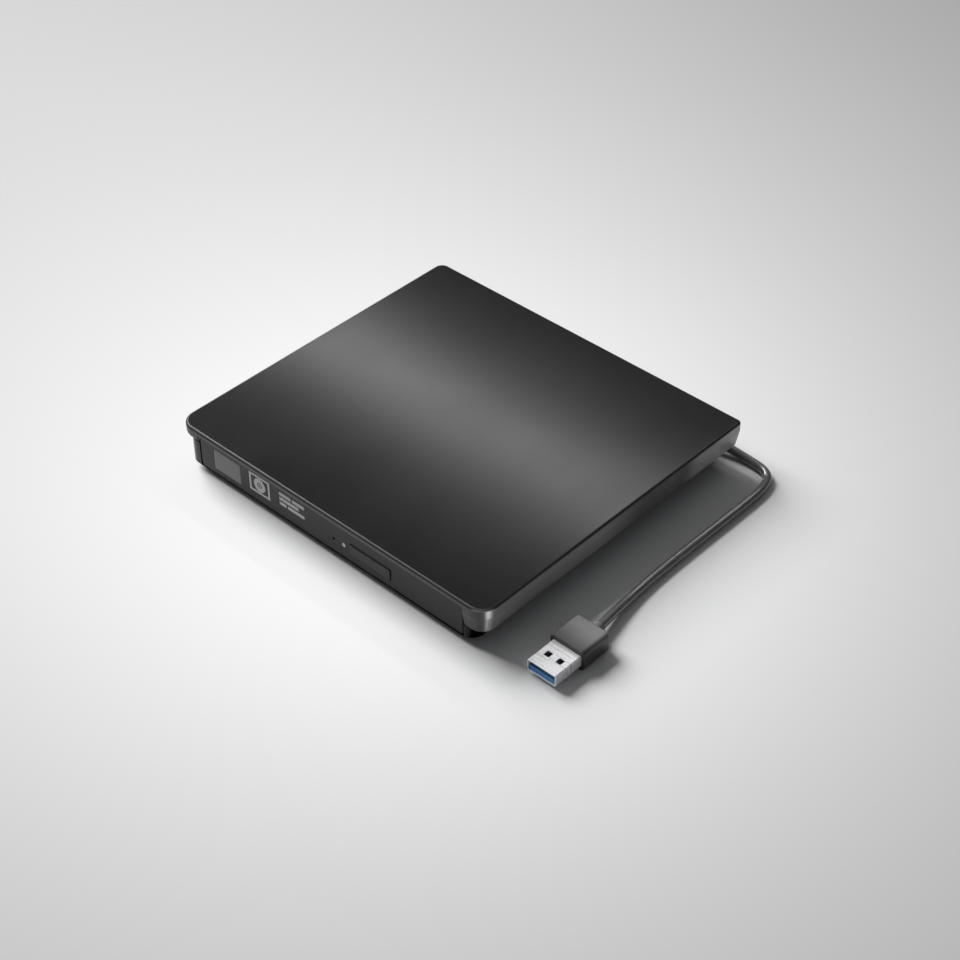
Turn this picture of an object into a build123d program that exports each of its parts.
"""External optical drive: a slim tray-loading disc drive in a two-part plastic case.

Millimetres. The origin is the centre of the footprint, on the surface the drive stands on.
+X points right, +Z up, and the tray comes out of the front, towards -Y.
"""
import os
from math import pi, radians, tan

from build123d import *

os.makedirs("parts", exist_ok=True)

# ---- Driving dimensions ----------------------------------------------------------------
case_width = 148.0
case_depth = 136.0
case_height = 19.0
front_corner = 6.5
left_back_corner = 3.5
right_back_corner = 1.8
cover_edge_round = 0.9
plate_bottom = 17.0

# The cover's left edge is a short rounded rim. Its other sides reach down as a leaning skirt.
rim_bottom = 13.5
rim_round = 2.4
rim_inner = -71.1
skirt_left = -66.0
skirt_bottom = 8.4
skirt_straight = 15.0
skirt_lean = 1.2
skirt_right = 71.6
skirt_back = 65.6

# Bottom case: a bevelled floor plate, a narrow tub and a shelf over the lead groove.
left_side = -71.2
front_side = -67.0
tub_right = 66.1
tub_back = 63.2
tub_top = 13.4
floor_right = 68.5
floor_back = 65.2
floor_bottom = 1.2
floor_top = 3.0
floor_bevel = 2.2
groove_top = 9.2
shelf_top = 10.6
lip_top = 16.8
lip_gap_to_cover = 0.3
case_wall = 1.6
lip_wall = 1.3
lip_front_corner = 4.6
floor_corner = 5.0
opening_half_width = 64.4
opening_gap = 0.2

# Slim drive inside the case.
drive_half_width = 64.0
drive_front = -62.0
drive_back = 61.0
sheet = 0.8
drive_lid_bottom = 15.1
drive_lid_top = 15.6
chassis_floor_top = floor_top + sheet

# Tray and bezel.
tray_half_width = 60.0
tray_front = -64.0
tray_back = 56.0
tray_bottom = 5.6
deck_bottom = 10.6
recess_floor = 12.0
tray_top = 13.4
tray_wall = 1.5
disc_y = -1.5
recess_radius = 60.5
bezel_bottom = 3.4
bezel_top = 16.6
bezel_face = -67.0
led_x = 9.0
control_z = 9.1
pinhole_x = 4.0
button_left = 12.0
button_right = 31.0
button_height = 4.4
button_gap = 0.25

# Rails: a strip held half by the tray's lips and half by the chassis guides.
rail_inner = 60.6
rail_outer = 62.2
rail_low = 7.2
rail_high = 10.8
lip_gap = 0.3

# Disc mechanism, on a diagonal from the disc's centre to the front right corner.
mech_half_width = 17.5
mech_inner_end = -17.0
mech_outer_end = 62.0
mech_gap = 0.5
mech_plate_low = 6.4
mech_plate_high = 7.2
mech_cover_low = 10.8
mech_cover_high = 11.6
rod_radius = 1.0
rod_offset = 13.5
rod_z = 8.8
screw_offset = -16.6
sled_rest = 18.0
sled_length = 10.0
lens_from_sled_end = 6.5
running_gap = 0.08

# Turntable.
rotor_radius = 11.5
platter_radius = 12.8
hub_radius = 7.45
hub_top = 14.4

# Feet, screws and damper places.
foot_radius = 5.0
foot_seat_depth = 0.6
case_screw_head = 1.7
case_screw_recess = 1.9
case_screw_shank = 0.7
case_screw_hole = 0.9
boss_bore = 0.75
left_boss_radius = 2.2
right_boss_radius = 1.9
board_screw_places = [(-44, 37), (-44, 54), (44, 37), (44, 54)]
small_screw_head = 1.5
small_screw_shank = 0.7
foot_places = [(-56, -52), (-56, 52), (56, -52), (56, 52)]
left_screw_places = [(-66.6, -57), (-66.6, 57)]
right_screw_places = [(68, -50), (68, 50)]
lid_screw_places = [(-59.5, -58), (59.5, -58), (-59.5, 57.5), (59.5, 57.5)]
damper_places = [(-8, 21.5), (-8, -21.5), (66, 0)]

# Hole for the lead's wires.
wire_hole_place = (-53, 64.2)

# Latch.
latch_pin_place = (-46, -50)
latch_pivot = (-41, -30)

# Lead and plug.
lead_diameter = 3.4
lead_start_x = -30.0
groove_lead_y = 65.8
groove_lead_z = 6.0
plug_x = 94.5
plug_z = 4.0
plug_back = -37.0
plug_front = -50.5
plug_width = 14.2
plug_height = 8.0
collar_end = -34.6
shell_width = 12.0
shell_height = 4.5
shell_length = 12.5
shell_wall = 0.35

# The lead's route, out of the strain relief, along the rear groove, off the back right
# corner down to the surface, sharply round and forward to the plug.
lead_route = [
    (lead_start_x, groove_lead_y, groove_lead_z),
    (-4, 65.6, 6.2),
    (24, 65.8, 6.0),
    (48, 66.8, 5.4),
    (63, 68.6, 3.8),
    (75, 69.9, 1.8),
    (86.9, 68.8, 1.75),
    (90.5, 61.4, 1.75),
    (90.8, 46, 1.75),
    (90.7, 22, 1.75),
    (90.9, -4, 1.75),
    (92.4, -21, 2.6),
    (94.5, collar_end, plug_z),
]


def add_box(x_span, y_span, z_span, mode=Mode.ADD):
    """Add or cut a box, given by its two ends along each axis, in the part being made."""
    spans = (x_span, y_span, z_span)
    with Locations(tuple((low + high) / 2 for low, high in spans)):
        Box(*(high - low for low, high in spans), mode=mode)


def add_rod(place, radius, low, high, mode=Mode.ADD):
    """Add or cut an upright cylinder between two heights, in the part being made."""
    with Locations((place[0], place[1], (low + high) / 2)):
        Cylinder(radius, high - low, mode=mode)


def add_across(x, z, radius, front, back, mode=Mode.ADD):
    """Add or cut a cylinder that lies along Y, in the part being made."""
    with Locations((x, (front + back) / 2, z)):
        Cylinder(radius, back - front, rotation=(90, 0, 0), mode=mode)


def mech_plane(height):
    """The plane of the disc mechanism: x along the sled's travel, y across it."""
    return Plane(origin=(0, disc_y, height), x_dir=(1, -1, 0), z_dir=(0, 0, 1))


def mech_box(x_span, y_span, z_span, mode=Mode.ADD):
    """Add or cut a box in the mechanism's own directions, in the part being made."""
    with Locations(mech_plane((z_span[0] + z_span[1]) / 2)):
        with Locations(((x_span[0] + x_span[1]) / 2, (y_span[0] + y_span[1]) / 2)):
            size = (x_span[1] - x_span[0], y_span[1] - y_span[0], z_span[1] - z_span[0])
            Box(*size, mode=mode)


def mech_rod(place, radius, low, high, mode=Mode.ADD):
    """Add or cut an upright cylinder at a place on the mechanism's plane."""
    with Locations(mech_plane((low + high) / 2)):
        with Locations(place):
            Cylinder(radius, high - low, mode=mode)


def mech_shaft(across, height, radius, start, end, mode=Mode.ADD):
    """Add or cut a cylinder that lies along the sled's travel."""
    with Locations(mech_plane(height)):
        with Locations(((start + end) / 2, across)):
            Cylinder(radius, end - start, rotation=(0, 90, 0), mode=mode)


def rounded_plate(x_span, y_span, corner):
    """A rounded rectangle between two ends along X and Y, in the sketch being made."""
    centre = ((x_span[0] + x_span[1]) / 2, (y_span[0] + y_span[1]) / 2)
    with Locations(centre):
        RectangleRounded(x_span[1] - x_span[0], y_span[1] - y_span[0], corner)


def plate_outline(height, x_span, y_span, radii):
    """Make a rectangle at a height with its own radius at each corner.

    The radii are in the order left front, right front, right back, left back.
    """
    with BuildSketch(Plane.XY.offset(height)) as outline:
        with Locations(((x_span[0] + x_span[1]) / 2, (y_span[0] + y_span[1]) / 2)):
            Rectangle(x_span[1] - x_span[0], y_span[1] - y_span[0])
        left, right = x_span
        front, back = y_span
        corners = ((left, front), (right, front), (right, back), (left, back))
        for corner, radius in zip(corners, radii):
            fillet(outline.vertices().sort_by_distance(corner)[0], radius)
    return outline.sketch


# ---- Case ------------------------------------------------------------------------------
half_width = case_width / 2
half_depth = case_depth / 2
cover_radii = (front_corner, front_corner, right_back_corner, left_back_corner)
rim_radii = (front_corner, front_corner, left_back_corner, left_back_corner)
skirt_radii = [radius - skirt_lean for radius in cover_radii]
skirt_inner_radii = (lip_front_corner, lip_front_corner, 1.2, 1.6)
lip_radii = (lip_front_corner, lip_front_corner, 2.0, 2.0)
tub_radii = (floor_corner, 2.0, 3.0, floor_corner)
floor_radii = (floor_corner, floor_corner, floor_corner, floor_corner)
with BuildPart() as cover_skirt:
    full_span = ((-half_width, half_width), (-half_depth, half_depth))
    leaning_span = ((-half_width, half_width - skirt_lean),
                    (-half_depth + skirt_lean, half_depth - skirt_lean))
    loft([plate_outline(skirt_bottom, *leaning_span, skirt_radii),
          plate_outline(skirt_straight, *full_span, cover_radii)])
    extrude(plate_outline(skirt_straight, *full_span, cover_radii),
            amount=plate_bottom - skirt_straight)
    add_box((-case_width, skirt_left), (-case_depth, case_depth), (0, case_height), Mode.SUBTRACT)
    add_box((-case_width, 0), (-case_depth, 0), (0, case_height), Mode.SUBTRACT)

with BuildPart() as cover_rim:
    extrude(plate_outline(rim_bottom, *full_span, rim_radii), amount=plate_bottom - rim_bottom)
    fillet(cover_rim.faces().sort_by(Axis.Z)[0].edges(), rim_round)

with BuildPart() as top_cover:
    extrude(plate_outline(plate_bottom, *full_span, cover_radii),
            amount=case_height - plate_bottom)
    fillet(top_cover.faces().sort_by(Axis.Z)[-1].edges(), cover_edge_round)
    add(cover_rim.part)
    add(cover_skirt.part)
    extrude(plate_outline(skirt_bottom, (rim_inner, skirt_right), (-skirt_back, skirt_back),
                          skirt_inner_radii),
            amount=plate_bottom - skirt_bottom, mode=Mode.SUBTRACT)
    # The rim is cut away over the tray's bezel.
    rim_cut = opening_half_width + opening_gap
    add_box((-rim_cut, rim_cut), (-case_depth, -65), (skirt_bottom - 1, plate_bottom),
            Mode.SUBTRACT)
    for boss_place in left_screw_places:
        add_rod(boss_place, left_boss_radius, floor_top, plate_bottom)
        add_rod(boss_place, boss_bore, floor_top, plate_bottom - 2, Mode.SUBTRACT)
    for boss_place in right_screw_places:
        add_rod(boss_place, right_boss_radius, shelf_top, plate_bottom)
        add_rod(boss_place, boss_bore, shelf_top, plate_bottom - 1, Mode.SUBTRACT)
top_cover.part.label = "top_cover"
export_step(top_cover.part, "parts/top_cover.step")

with BuildPart() as bottom_case:
    bevel_radii = [radius - floor_bevel for radius in floor_radii]
    loft([plate_outline(floor_bottom, (left_side + floor_bevel, floor_right - floor_bevel),
                        (front_side + floor_bevel, floor_back - floor_bevel), bevel_radii),
          plate_outline(floor_top, (left_side, floor_right), (front_side, floor_back), floor_radii)])
    extrude(plate_outline(floor_top, (left_side, tub_right), (front_side, tub_back),
                          tub_radii),
            amount=tub_top - floor_top)
    # Shelf over the groove and the lip that stands inside the cover.
    lip_left = rim_inner + lip_gap_to_cover
    lip_right = skirt_right - lip_gap_to_cover
    lip_back = skirt_back - lip_gap_to_cover
    extrude(plate_outline(groove_top, (lip_left, lip_right), (-lip_back, lip_back),
                          lip_radii),
            amount=lip_top - groove_top)
    # Inside: a deep well for the drive and a shallow step over the groove.
    well_left = left_side + case_wall
    well_front = front_side + case_wall
    add_box((well_left, tub_right - case_wall), (well_front, tub_back - case_wall),
            (floor_top, lip_top + 1), Mode.SUBTRACT)
    add_box((well_left, lip_right - lip_wall), (well_front, lip_back - lip_wall),
            (shelf_top, lip_top + 1), Mode.SUBTRACT)
    add_box((-opening_half_width, opening_half_width), (front_side - 1, well_front + 1),
            (floor_top, lip_top + 1), Mode.SUBTRACT)
    # The right cheek steps back to clear the cover's skirt.
    add_box((opening_half_width, case_width), (-case_depth, -lip_back),
            (skirt_bottom - lip_gap_to_cover, case_height), Mode.SUBTRACT)
    for foot_place in foot_places:
        add_rod(foot_place, foot_radius + 0.1, floor_bottom, floor_bottom + foot_seat_depth,
                Mode.SUBTRACT)
    for screw_place in left_screw_places:
        add_rod(screw_place, case_screw_recess, floor_bottom, floor_bottom + 1.1, Mode.SUBTRACT)
        add_rod(screw_place, case_screw_hole, floor_bottom, floor_top, Mode.SUBTRACT)
    for screw_place in right_screw_places:
        add_rod(screw_place, case_screw_recess, groove_top, groove_top + 0.7, Mode.SUBTRACT)
        add_rod(screw_place, case_screw_hole, groove_top, shelf_top, Mode.SUBTRACT)
    # Hole in the groove's roof where the lead's wires go up to the bridge board.
    add_rod(wire_hole_place, 0.9, groove_top, shelf_top, Mode.SUBTRACT)
bottom_case.part.label = "bottom_case"
export_step(bottom_case.part, "parts/bottom_case.step")

with BuildPart() as rubber_feet:
    for foot_place in foot_places:
        add_rod(foot_place, foot_radius, 0, floor_bottom + foot_seat_depth)
    chamfer(rubber_feet.edges().group_by(Axis.Z)[0], 0.4)
rubber_feet.part.label = "rubber_feet"
export_step(rubber_feet.part, "parts/rubber_feet.step")

with BuildPart() as case_screws:
    for screw_place in left_screw_places:
        add_rod(screw_place, case_screw_head, floor_bottom + 0.3, floor_bottom + 1.1)
        add_rod(screw_place, case_screw_shank, floor_bottom + 1.1, floor_top + 7)
    for screw_place in right_screw_places:
        add_rod(screw_place, case_screw_head, groove_top + 0.1, groove_top + 0.7)
        add_rod(screw_place, case_screw_shank, groove_top + 0.7, shelf_top + 4)
case_screws.part.label = "case_screws"
export_step(case_screws.part, "parts/case_screws.step")

# ---- Slim drive: chassis, lid and boards -----------------------------------------------
with BuildPart() as chassis:
    add_box((-drive_half_width, drive_half_width), (drive_front, drive_back),
            (floor_top, drive_lid_bottom))
    add_box((-drive_half_width + sheet, drive_half_width - sheet),
            (drive_front - 1, drive_back - sheet), (chassis_floor_top, 20), Mode.SUBTRACT)
    # Window in the rear wall for the data and power connector.
    add_box((-17.5, 17.5), (drive_back - 2, drive_back + 1), (11.0, 14.0), Mode.SUBTRACT)
    # Corner tabs that take the lid's screws.
    for tab_x, tab_y in lid_screw_places:
        side = 1 if tab_x > 0 else -1
        tab_ends = sorted((tab_x - side * 2.5, side * (drive_half_width - sheet)))
        add_box(tab_ends, (tab_y - 2.5, tab_y + 2.5), (drive_lid_bottom - sheet, drive_lid_bottom))
        add_rod((tab_x, tab_y), 0.8, 14, drive_lid_bottom, Mode.SUBTRACT)
    # Standoffs under the main board.
    for standoff_place in board_screw_places:
        add_rod(standoff_place, 2.0, chassis_floor_top, chassis_floor_top + sheet)
    # Pressed stiffening beads in the floor.
    for bead_x in (-24, 24):
        add_box((bead_x - 1.5, bead_x + 1.5), (-50, 20), (chassis_floor_top, chassis_floor_top + 0.3))
chassis.part.label = "chassis"
export_step(chassis.part, "parts/chassis.step")

with BuildPart() as drive_lid:
    add_box((-drive_half_width, drive_half_width), (drive_front, drive_back),
            (drive_lid_bottom, drive_lid_top))
    with BuildSketch(Plane.XY.offset(drive_lid_top)):
        RectangleRounded(104, 96, 12)
        Circle(22, mode=Mode.SUBTRACT)
    extrude(amount=0.5)
    for tab_place in lid_screw_places:
        add_rod(tab_place, 0.9, drive_lid_bottom, drive_lid_top, Mode.SUBTRACT)
drive_lid.part.label = "drive_lid"
export_step(drive_lid.part, "parts/drive_lid.step")

with BuildPart() as lid_screws:
    for tab_place in lid_screw_places:
        add_rod(tab_place, small_screw_head, drive_lid_top, drive_lid_top + 0.5)
        add_rod(tab_place, small_screw_shank, drive_lid_bottom - sheet, drive_lid_top)
lid_screws.part.label = "lid_screws"
export_step(lid_screws.part, "parts/lid_screws.step")

board_low = chassis_floor_top + sheet
board_high = board_low + 0.8
with BuildPart() as main_board:
    add_box((-49, 49), (32, 58.5), (board_low, board_high))
    for hole_place in board_screw_places:
        add_rod(hole_place, 0.9, board_low, board_high, Mode.SUBTRACT)
main_board.part.label = "main_board"
export_step(main_board.part, "parts/main_board.step")

with BuildPart() as main_board_chips:
    add_box((-30, -16), (38, 52), (board_high, board_high + 1.0))
    add_box((-8, 2), (40, 48), (board_high, board_high + 0.9))
    add_box((-38, -34), (40, 46), (board_high, board_high + 0.7))
    add_box((30, 36), (44, 48), (board_high, board_high + 0.7))
main_board_chips.part.label = "main_board_chips"
export_step(main_board_chips.part, "parts/main_board_chips.step")

with BuildPart() as board_screws:
    for screw_place in board_screw_places:
        add_rod(screw_place, small_screw_head, board_high, board_high + 0.5)
board_screws.part.label = "board_screws"
export_step(board_screws.part, "parts/board_screws.step")

ribbon_x = (10, 26)
ribbon_low = board_high + 0.3
with BuildPart() as ribbon_socket:
    add_box((ribbon_x[0] - 1.5, ribbon_x[1] + 1.5), (33, 36.5), (board_high, board_high + 1.2))
    add_box((ribbon_x[0] - 0.1, ribbon_x[1] + 0.1), (32, 35), (ribbon_low, ribbon_low + 0.4), Mode.SUBTRACT)
ribbon_socket.part.label = "ribbon_socket"
export_step(ribbon_socket.part, "parts/ribbon_socket.step")

with BuildPart() as drive_connector:
    add_box((-19, 19), (56.6, drive_back - sheet), (board_high, 14.2))
    add_box((-16, 16), (drive_back - sheet, drive_back + 1.5), (11.7, 13.3))
drive_connector.part.label = "drive_connector"
export_step(drive_connector.part, "parts/drive_connector.step")

with BuildPart() as bridge_connector:
    add_box((-18.5, 18.5), (drive_back + 0.2, 62.7), (10.9, 14.5))
    add_box((-16.3, 16.3), (drive_back, 62.6), (11.4, 13.6), Mode.SUBTRACT)
bridge_connector.part.label = "bridge_connector"
export_step(bridge_connector.part, "parts/bridge_connector.step")

with BuildPart() as bridge_board:
    add_box((-57, 38), (62.7, 63.5), (shelf_top, 16.6))
bridge_board.part.label = "bridge_board"
export_step(bridge_board.part, "parts/bridge_board.step")

with BuildPart() as bridge_chips:
    add_box((22, 29), (61.6, 62.7), (11.4, 16.0))
    add_box((31, 35), (61.9, 62.7), (12.2, 14.4))
    add_box((-30, -26), (61.7, 62.7), (12.0, 15.4))
bridge_chips.part.label = "bridge_chips"
export_step(bridge_chips.part, "parts/bridge_chips.step")

with BuildPart() as latch_pin:
    add_rod(latch_pin_place, 2.0, chassis_floor_top, chassis_floor_top + 0.5)
    add_rod(latch_pin_place, 1.2, chassis_floor_top + 0.5, 7.0)
latch_pin.part.label = "latch_pin"
export_step(latch_pin.part, "parts/latch_pin.step")

with BuildPart() as push_out_plunger:
    add_across(-54, 8.2, 2.2, 56.9, drive_back - sheet)
    add_across(-54, 8.2, 1.1, 56.4, 56.9)
push_out_plunger.part.label = "push_out_plunger"
export_step(push_out_plunger.part, "parts/push_out_plunger.step")

# Chassis guides: channels open towards the tray that hold the rails' outer half.
guide_face = rail_outer - 0.5
for side_name, side in (("left", -1), ("right", 1)):
    with BuildPart() as rail_guide:
        wall = side * (drive_half_width - sheet)
        across = sorted((side * guide_face, wall))
        web = sorted((wall - side * 0.6, wall))
        add_box(across, (-60, 54), (rail_low - lip_gap - 0.8, rail_low - lip_gap))
        add_box(across, (-60, 54), (rail_high + lip_gap, rail_high + lip_gap + 0.8))
        add_box(web, (-60, 54), (rail_low - lip_gap - 0.8, rail_high + lip_gap + 0.8))
    rail_guide.part.label = f"{side_name}_rail_guide"
    export_step(rail_guide.part, f"parts/{side_name}_rail_guide.step")

    with BuildPart() as slide_rail:
        add_box(sorted((side * rail_inner, side * rail_outer)), (-60, 50), (rail_low, rail_high))
        fillet(slide_rail.edges().filter_by(Axis.X), 1.2)
    slide_rail.part.label = f"{side_name}_slide_rail"
    export_step(slide_rail.part, f"parts/{side_name}_slide_rail.step")

# ---- Tray ------------------------------------------------------------------------------
opening_low = -mech_half_width - mech_gap
opening_span = (-opening_low, opening_low)
with BuildPart() as tray:
    with BuildSketch(Plane.XY.offset(tray_bottom)):
        rounded_plate((-tray_half_width, tray_half_width), (tray_front, tray_back), 1.0)
    extrude(amount=tray_top - tray_bottom)
    # Hollow below the deck, open at the back so that it slides over the main board.
    add_box((-tray_half_width + tray_wall, tray_half_width - tray_wall),
            (tray_front + tray_wall, tray_back + 1), (tray_bottom - 1, deck_bottom), Mode.SUBTRACT)
    # Dished recess for a 12 cm disc, with a deeper ring for an 8 cm disc.
    add_rod((0, disc_y), recess_radius, recess_floor, tray_top + 1, Mode.SUBTRACT)
    add_rod((0, disc_y), 40.5, recess_floor - 0.5, tray_top + 1, Mode.SUBTRACT)
    # Diagonal opening for the mechanism.
    mech_box((mech_inner_end - mech_gap, mech_outer_end + mech_gap), sorted(opening_span),
             (deck_bottom - 1, tray_top + 1), Mode.SUBTRACT)
    # Lips outside the walls that run on the rails' inner half.
    lip_outer = rail_outer - 0.8
    for side in (-1, 1):
        lip_ends = sorted((side * (tray_half_width - 0.5), side * lip_outer))
        add_box(lip_ends, (-60, 55), (rail_low - lip_gap - 0.7, rail_low - lip_gap))
        add_box(lip_ends, (-60, 55), (rail_high + lip_gap, rail_high + lip_gap + 0.7))
    # Bosses for the mechanism's dampers, the latch pivot post and the push-out pad.
    for damper_place in damper_places:
        mech_rod(damper_place, 2.6, 9.2, deck_bottom)
        mech_rod(damper_place, 0.8, 8.0, deck_bottom - 0.2, Mode.SUBTRACT)
    add_rod(latch_pivot, 1.0, 5.8, deck_bottom)
    add_box((-tray_half_width + tray_wall, -51), (54.5, tray_back), (tray_bottom, deck_bottom))
    # Front wall: windows for the button's stem, the light and the emergency pin.
    add_box((19, 24), (tray_front - 1, tray_front + 3), (7.2, 9.8), Mode.SUBTRACT)
    add_across(led_x, control_z, 1.1, tray_front - 1, tray_front + 3, Mode.SUBTRACT)
    add_across(pinhole_x, control_z, 0.7, tray_front - 1, tray_front + 3, Mode.SUBTRACT)
tray.part.label = "tray"
export_step(tray.part, "parts/tray.step")

with BuildPart() as bezel:
    with BuildSketch(Plane.XZ.offset(-tray_front)):
        with Locations((0, (bezel_bottom + bezel_top) / 2)):
            RectangleRounded(2 * drive_half_width, bezel_top - bezel_bottom, 1.0)
    extrude(amount=tray_front - bezel_face)
    fillet(bezel.faces().sort_by(Axis.Y)[0].edges(), 0.6)
    # Shallow plain label recess at the left.
    add_box((-57, -43), (bezel_face - 1, bezel_face + 0.25), (5.6, 14.4), Mode.SUBTRACT)
    button_low = control_z - button_height / 2
    button_high = control_z + button_height / 2
    add_box((button_left - button_gap, button_right + button_gap), (bezel_face - 1, tray_front + 1),
            (button_low - button_gap, button_high + button_gap), Mode.SUBTRACT)
    add_across(led_x, control_z, 0.95, bezel_face - 1, tray_front + 1, Mode.SUBTRACT)
    add_across(pinhole_x, control_z, 0.6, bezel_face - 1, tray_front + 1, Mode.SUBTRACT)
bezel.part.label = "bezel"
export_step(bezel.part, "parts/bezel.step")

with BuildPart() as bezel_label:
    add_box((-56.9, -43.1), (bezel_face + 0.05, bezel_face + 0.25), (5.7, 14.3))
bezel_label.part.label = "bezel_label"
export_step(bezel_label.part, "parts/bezel_label.step")

stem_end = -61.95
with BuildPart() as eject_button:
    add_box((button_left, button_right), (bezel_face - 0.35, tray_front - 0.6),
            (button_low, button_high))
    fillet(eject_button.edges().filter_by(Axis.Y), 0.5)
    fillet(eject_button.faces().sort_by(Axis.Y)[0].edges(), 0.3)
    add_box((20, 23), (tray_front - 0.6, stem_end), (7.8, 9.4))
eject_button.part.label = "eject_button"
export_step(eject_button.part, "parts/eject_button.step")

with BuildPart() as led_lens:
    add_across(led_x, control_z, 0.85, bezel_face - 0.1, -61.6)
led_lens.part.label = "led_lens"
export_step(led_lens.part, "parts/led_lens.step")

tray_board_low = deck_bottom - 0.8
with BuildPart() as tray_board:
    with BuildSketch(Plane.XY.offset(tray_board_low)):
        with BuildLine():
            Polyline((-57, -61), (24, -61), (24, -59), (-18, -18), (-57, -18), close=True)
        make_face()
        with Locations(latch_pivot):
            Circle(2.2, mode=Mode.SUBTRACT)
    extrude(amount=0.8)
tray_board.part.label = "tray_board"
export_step(tray_board.part, "parts/tray_board.step")

with BuildPart() as tray_board_chips:
    add_box((-30, -18), (-48, -36), (tray_board_low - 1.0, tray_board_low))
    add_box((-12, -2), (-56, -48), (tray_board_low - 0.9, tray_board_low))
    add_box((-56, -52), (-44, -30), (tray_board_low - 1.4, tray_board_low))
tray_board_chips.part.label = "tray_board_chips"
export_step(tray_board_chips.part, "parts/tray_board_chips.step")

with BuildPart() as eject_switch:
    add_box((19.5, 23.5), (-61.0, -59.2), (7.4, tray_board_low))
    add_box((20.6, 22.4), (-61.4, -61.0), (8.0, 9.2))
eject_switch.part.label = "eject_switch"
export_step(eject_switch.part, "parts/eject_switch.step")

with BuildPart() as status_led:
    add_box((led_x - 1.2, led_x + 1.2), (-61.6, -60.2), (8.0, tray_board_low))
status_led.part.label = "status_led"
export_step(status_led.part, "parts/status_led.step")

# Latch: a hook on the tray that swings behind the chassis pin, and the magnet that frees it.
with BuildPart() as latch_lever:
    with BuildSketch(Plane.XY.offset(6.0)):
        with BuildLine():
            Polyline((-42.2, -30), (-39.8, -30), (-40.0, -48.3), (-44.2, -48.3), (-44.2, -46.3),
                     (-42.4, -46.3), close=True)
        make_face()
        with Locations(latch_pivot):
            Circle(2.3)
            Circle(1.0 + running_gap, mode=Mode.SUBTRACT)
    extrude(amount=1.0)
latch_lever.part.label = "latch_lever"
export_step(latch_lever.part, "parts/latch_lever.step")

with BuildPart() as latch_spring:
    add_rod(latch_pivot, 1.9, 7.3, tray_board_low)
    add_rod(latch_pivot, 1.2, 7.2, tray_board_low + 0.1, Mode.SUBTRACT)
latch_spring.part.label = "latch_spring"
export_step(latch_spring.part, "parts/latch_spring.step")

with BuildPart() as latch_magnet:
    add_box((-37, -31), (-41, -31), (5.9, tray_board_low))
    with Locations((-38.2, -37, 6.5)):
        Cylinder(0.5, 2.4, rotation=(0, 90, 0))
latch_magnet.part.label = "latch_magnet"
export_step(latch_magnet.part, "parts/latch_magnet.step")

# ---- Disc mechanism --------------------------------------------------------------------
with BuildPart() as mech_plate:
    mech_box((mech_inner_end, mech_outer_end), (-mech_half_width, mech_half_width),
             (mech_plate_low, mech_plate_high))
    for damper_place in damper_places:
        mech_rod(damper_place, 3.4, mech_plate_low, mech_plate_high)
        mech_rod((damper_place[0] * 0.94, damper_place[1] * 0.84), 3.4,
                 mech_plate_low, mech_plate_high)
        mech_rod(damper_place, 0.9, mech_plate_low, mech_plate_high, Mode.SUBTRACT)
    mech_box((15.5, 60.6), (-11.8, 11.8), (mech_plate_low, mech_plate_high), Mode.SUBTRACT)
mech_plate.part.label = "mech_plate"
export_step(mech_plate.part, "parts/mech_plate.step")

with BuildPart() as rubber_dampers:
    for damper_place in damper_places:
        mech_rod(damper_place, 2.4, mech_plate_high, 9.2)
        mech_rod(damper_place, 0.9, mech_plate_high, 9.2, Mode.SUBTRACT)
rubber_dampers.part.label = "rubber_dampers"
export_step(rubber_dampers.part, "parts/rubber_dampers.step")

with BuildPart() as damper_screws:
    for damper_place in damper_places:
        mech_rod(damper_place, 2.0, mech_plate_low - 0.6, mech_plate_low)
        mech_rod(damper_place, 0.7, mech_plate_low, 10.2)
damper_screws.part.label = "damper_screws"
export_step(damper_screws.part, "parts/damper_screws.step")

# Inner and outer rod clamps, and the lead screw's end bearing.
with BuildPart() as rod_clamps:
    for clamp_side in (-1, 1):
        clamp_span = sorted((clamp_side * rod_offset - 1.9, clamp_side * rod_offset + 1.9))
        for clamp_ends in ((12.4, 15.2), (60.4, mech_outer_end)):
            mech_box(clamp_ends, clamp_span, (mech_plate_high, mech_cover_low))
        mech_shaft(clamp_side * rod_offset, rod_z, rod_radius, 12.0, 62.5, Mode.SUBTRACT)
    mech_box((60.4, mech_outer_end), (-17.5, -15.4), (mech_plate_high, 10.2))
    mech_shaft(screw_offset, rod_z, 0.6 + running_gap, 60, 63, Mode.SUBTRACT)
rod_clamps.part.label = "rod_clamps"
export_step(rod_clamps.part, "parts/rod_clamps.step")

with BuildPart() as guide_rods:
    for rod_side in (-1, 1):
        mech_shaft(rod_side * rod_offset, rod_z, rod_radius, 12.4, mech_outer_end)
guide_rods.part.label = "guide_rods"
export_step(guide_rods.part, "parts/guide_rods.step")

with BuildPart() as stepper_motor:
    mech_box((3.0, 12.0), (-18.6, -14.6), (mech_plate_high, 10.4))
    mech_shaft(screw_offset, rod_z, 0.6 + running_gap, 11.0, 13.0, Mode.SUBTRACT)
stepper_motor.part.label = "stepper_motor"
export_step(stepper_motor.part, "parts/stepper_motor.step")

with BuildPart() as lead_screw:
    mech_shaft(screw_offset, rod_z, 0.9, 12.3, 60.1)
    mech_shaft(screw_offset, rod_z, 0.6, 11.2, mech_outer_end)
lead_screw.part.label = "lead_screw"
export_step(lead_screw.part, "parts/lead_screw.step")

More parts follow.
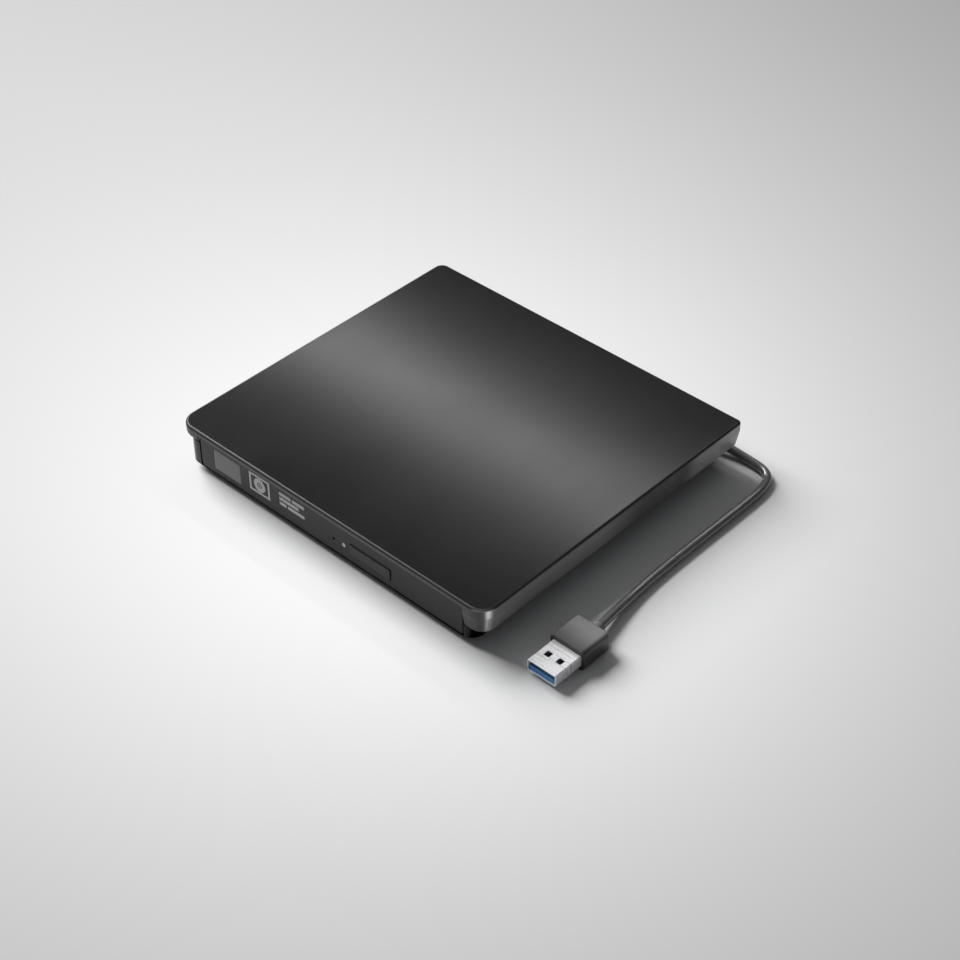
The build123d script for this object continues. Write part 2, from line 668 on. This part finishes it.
with BuildPart() as mech_cover:
    mech_box((mech_inner_end, mech_outer_end), (-mech_half_width, mech_half_width),
             (mech_cover_low, mech_cover_high))
    mech_rod((0, 0), platter_radius + 0.6, mech_cover_low, mech_cover_high, Mode.SUBTRACT)
    mech_box((10, 60.2), (-9.4, 9.4), (mech_cover_low, mech_cover_high), Mode.SUBTRACT)
    for post_side in (-1, 1):
        mech_rod((-13.5, post_side * 13.5), 1.8, mech_plate_high, mech_cover_low)
mech_cover.part.label = "mech_cover"
export_step(mech_cover.part, "parts/mech_cover.step")

with BuildPart() as spindle_motor:
    mech_rod((0, 0), 10.8, mech_plate_high, 8.4)
    mech_rod((0, 0), 2.0, 8.4, 10.2)
spindle_motor.part.label = "spindle_motor"
export_step(spindle_motor.part, "parts/spindle_motor.step")

ball_circle = 6.7
ball_radius = 1.2
ball_z = 13.0
with BuildPart() as turntable:
    mech_rod((0, 0), rotor_radius, 8.8, 11.0)
    mech_rod((0, 0), platter_radius, 11.0, 11.9)
    mech_rod((0, 0), 2.0 + running_gap, 8.6, 10.4, Mode.SUBTRACT)
    mech_rod((0, 0), hub_radius, 11.9, hub_top)
    chamfer(turntable.faces().sort_by(Axis.Z)[-1].edges(), 1.0)
    mech_rod((0, 0), 3.2, 13.2, hub_top + 1, Mode.SUBTRACT)
    with Locations(mech_plane(ball_z)):
        with PolarLocations(ball_circle, 3):
            Sphere(ball_radius + 0.05, mode=Mode.SUBTRACT)
turntable.part.label = "turntable"
export_step(turntable.part, "parts/turntable.step")

with BuildPart() as turntable_pad:
    mech_rod((0, 0), 12.4, 11.9, 12.3)
    mech_rod((0, 0), 8.8, 11.8, 12.4, Mode.SUBTRACT)
turntable_pad.part.label = "turntable_pad"
export_step(turntable_pad.part, "parts/turntable_pad.step")

with BuildPart() as hub_balls:
    with Locations(mech_plane(ball_z)):
        with PolarLocations(ball_circle, 3):
            Sphere(ball_radius)
hub_balls.part.label = "hub_balls"
export_step(hub_balls.part, "parts/hub_balls.step")

sled_end = sled_rest + sled_length
lens_along = sled_rest + lens_from_sled_end
with BuildPart() as sled:
    mech_box((sled_rest, sled_end), (-11.2, 11.2), (6.6, 10.0))
    mech_box((sled_rest, sled_end), (-14.9, 15.6), (7.5, 10.2))
    mech_shaft(rod_offset, rod_z, rod_radius + running_gap, sled_rest - 1, sled_end + 1, Mode.SUBTRACT)
    mech_box((sled_rest - 1, sled_end + 1), (-16, -rod_offset + 1.1), (rod_z - 1.1, rod_z + 1.1),
             Mode.SUBTRACT)
    chamfer(sled.faces().sort_by(Axis.Z)[0].edges(), 0.4)
sled.part.label = "sled"
export_step(sled.part, "parts/sled.step")

with BuildPart() as lens_actuator:
    mech_box((lens_along - 3.2, lens_along + 3.2), (-7.5, 7.5), (10.2, 11.0))
    mech_rod((lens_along, 0), 2.3, 10.2, 11.0, Mode.SUBTRACT)
lens_actuator.part.label = "lens_actuator"
export_step(lens_actuator.part, "parts/lens_actuator.step")

with BuildPart() as objective_lens:
    mech_rod((lens_along, 0), 2.2, 10.3, 10.9)
    with Locations(mech_plane(10.9)):
        with Locations((lens_along, 0)):
            Sphere(1.9)
    mech_box((lens_along - 4, lens_along + 4), (-4, 4), (7, 10.3), Mode.SUBTRACT)
    mech_box((lens_along - 4, lens_along + 4), (-4, 4), (11.5, 14), Mode.SUBTRACT)
objective_lens.part.label = "objective_lens"
export_step(objective_lens.part, "parts/objective_lens.step")

with BuildPart() as sled_follower:
    mech_box((sled_rest + 3, sled_end - 3), (-15.3, -14.9), (9.95, 10.2))
    mech_box((sled_rest + 2, sled_end - 2), (-15.3, -12.0), (10.2, 10.6))
sled_follower.part.label = "sled_follower"
export_step(sled_follower.part, "parts/sled_follower.step")

# ---- Ribbon from the main board to the tray --------------------------------------------
# It runs forward on the chassis floor, folds over and comes back under the tray.
ribbon_fold = -45.0
ribbon_end = 24.0
ribbon_rise = 30.5
ribbon_thick = 0.2
lower_run = 4.2
upper_run = 5.0
with BuildPart() as tray_ribbon:
    add_box(ribbon_x, (ribbon_fold, ribbon_rise), (lower_run, lower_run + ribbon_thick))
    add_box(ribbon_x, (ribbon_rise - ribbon_thick, ribbon_rise), (lower_run, ribbon_low + 0.3))
    add_box(ribbon_x, (ribbon_rise - ribbon_thick, 34.9), (ribbon_low + 0.1, ribbon_low + 0.3))
    add_box(ribbon_x, (ribbon_fold, ribbon_fold + ribbon_thick), (lower_run, upper_run))
    add_box(ribbon_x, (ribbon_fold, ribbon_end), (upper_run, upper_run + ribbon_thick))
    add_box(ribbon_x, (ribbon_end - ribbon_thick, ribbon_end), (upper_run, deck_bottom))
tray_ribbon.part.label = "tray_ribbon"
export_step(tray_ribbon.part, "parts/tray_ribbon.step")

# ---- Strain relief, lead and plug ------------------------------------------------------
with BuildPart() as strain_relief:
    add_box((-58, -48), (tub_back, 67.4), (floor_top, 8.1))
    fillet(strain_relief.edges().filter_by(Axis.Z).group_by(Axis.Y)[-1], 0.8)
    add_box((-58, -48), (tub_back, lip_back), (8.1, groove_top))
    with BuildSketch(Plane(origin=(-48, groove_lead_y, groove_lead_z), x_dir=(0, 1, 0),
                           z_dir=(1, 0, 0))):
        Circle(2.1)
    with BuildSketch(Plane(origin=(lead_start_x, groove_lead_y, groove_lead_z),
                           x_dir=(0, 1, 0), z_dir=(1, 0, 0))):
        Circle(1.95)
    loft()
    add_rod(wire_hole_place, 0.8, groove_top, shelf_top)
strain_relief.part.label = "strain_relief"
export_step(strain_relief.part, "parts/strain_relief.step")

route = [Vector(*point) for point in lead_route]
runs = [(after - before).length for before, after in zip(route, route[1:])]
turns = [(middle - before).get_angle(after - middle)
         for before, middle, after in zip(route, route[1:], route[2:])]
radii = [0.45 * min(before, after) / tan(radians(turn) / 2)
         for before, after, turn in zip(runs, runs[1:], turns)]
print("lead: run lengths", [round(run, 1) for run in runs])
print("lead: turns in degrees", [round(turn, 1) for turn in turns])
print("lead: arc radii", [round(radius, 1) for radius in radii])

with BuildPart() as usb_lead:
    with BuildLine() as lead_path:
        FilletPolyline(*lead_route, radius=radii)
    with BuildSketch(Plane(origin=lead_path.line @ 0, z_dir=lead_path.line % 0)):
        Circle(lead_diameter / 2)
    sweep()
lead_length = sum(edge.length for edge in lead_path.line.edges())
lead_section = pi * (lead_diameter / 2) ** 2
print("lead: length", round(lead_length, 1))
print("lead: volume over section times length",
      round(usb_lead.part.volume / (lead_section * lead_length), 4))
usb_lead.part.label = "usb_lead"
export_step(usb_lead.part, "parts/usb_lead.step")

with BuildPart() as plug_body:
    with BuildSketch(Plane.XZ.offset(-plug_back)):
        with Locations((plug_x, plug_z)):
            RectangleRounded(plug_width, plug_height, 1.6)
    extrude(amount=plug_back - plug_front)
    fillet(plug_body.faces().sort_by(Axis.Y)[-1].edges(), 1.4)
    add_across(plug_x, plug_z, 2.7, plug_back - 1, collar_end)
plug_body.part.label = "plug_body"
export_step(plug_body.part, "parts/plug_body.step")

shell_front = plug_front - shell_length
with BuildPart() as usb_shell:
    with BuildSketch(Plane.XZ.offset(-plug_front)):
        with Locations((plug_x, plug_z)):
            RectangleRounded(shell_width, shell_height, 0.5)
            inner = (shell_width - 2 * shell_wall, shell_height - 2 * shell_wall)
            RectangleRounded(*inner, 0.3, mode=Mode.SUBTRACT)
    extrude(amount=shell_length)
    # The two square windows that the socket's springs drop into, top and bottom.
    for window_x in (plug_x - 2.5, plug_x + 2.5):
        add_box((window_x - 1.1, window_x + 1.1), (shell_front + 5.0, shell_front + 7.4),
                (-1, 2 * plug_z + 1), Mode.SUBTRACT)
usb_shell.part.label = "usb_shell"
export_step(usb_shell.part, "parts/usb_shell.step")

tongue_low = plug_z - shell_height / 2 + shell_wall
tongue_high = plug_z - 0.05
with BuildPart() as usb_tongue:
    inner_half = shell_width / 2 - shell_wall - 0.3
    add_box((plug_x - inner_half, plug_x + inner_half), (shell_front + 0.4, plug_front),
            (tongue_low, tongue_high))
usb_tongue.part.label = "usb_tongue"
export_step(usb_tongue.part, "parts/usb_tongue.step")

with BuildPart() as usb_contacts:
    for contact in range(4):
        contact_x = plug_x - 3.6 + 2.4 * contact
        add_box((contact_x - 0.55, contact_x + 0.55), (shell_front + 1.6, plug_front - 0.5),
                (tongue_high, tongue_high + 0.15))
usb_contacts.part.label = "usb_contacts"
export_step(usb_contacts.part, "parts/usb_contacts.step")
